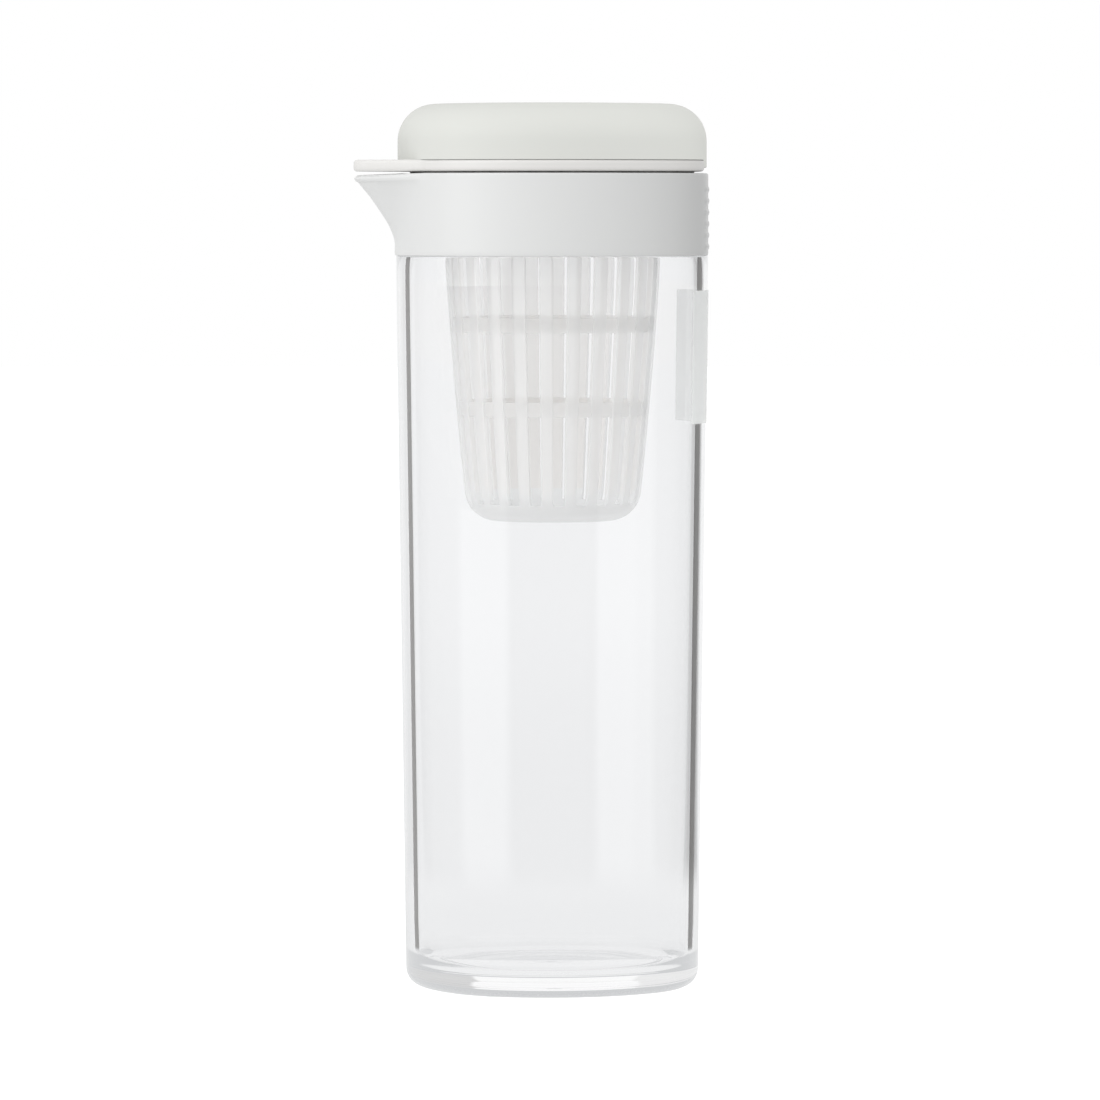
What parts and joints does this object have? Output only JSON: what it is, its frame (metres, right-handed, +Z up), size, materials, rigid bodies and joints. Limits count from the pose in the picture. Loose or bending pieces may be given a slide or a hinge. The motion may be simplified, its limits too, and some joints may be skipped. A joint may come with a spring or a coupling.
{
  "type": "fruit infuser pitcher",
  "caption": "Tall clear pitcher with a white spouted collar, a hanging slotted basket for fruit and a lift-off lid with a grey cover.",
  "frame": {"origin": "centre of the foot, in the plane the pitcher stands on", "axes": "+Z up along the body's axis; -X towards the spout; +X towards the back with the finger tab, the grip ridges and the label; +Y to the left for someone who looks along +X"},
  "size_m": [0.1192, 0.1036, 0.2943],
  "materials": {
    "clear_plastic": "clear, polished",
    "white_plastic": "satin",
    "grey_plastic": "fine matt",
    "frosted_plastic": "translucent white, satin",
    "silicone": "satin",
    "label_film": "satin film"
  },
  "bodies": {
    "vessel": {"vessel_body": "clear_plastic", "collar": "white_plastic", "collar_seal": "silicone", "back_label": "label_film"},
    "infuser": {"infuser_basket": "frosted_plastic"},
    "lid": {"lid_plate": "white_plastic", "lid_plug": "white_plastic", "lid_cover": "grey_plastic", "lid_seal": "silicone"}
  },
  "joints": [
    {"name": "infuser_lift", "type": "slide", "parent": "vessel", "child": "infuser", "axis": [0, 0, 1], "range_m": [0, 0.13]},
    {"name": "lid_lift", "type": "slide", "parent": "infuser", "child": "lid", "axis": [0, 0, 1], "range_m": [0, 0.05]}
  ]
}
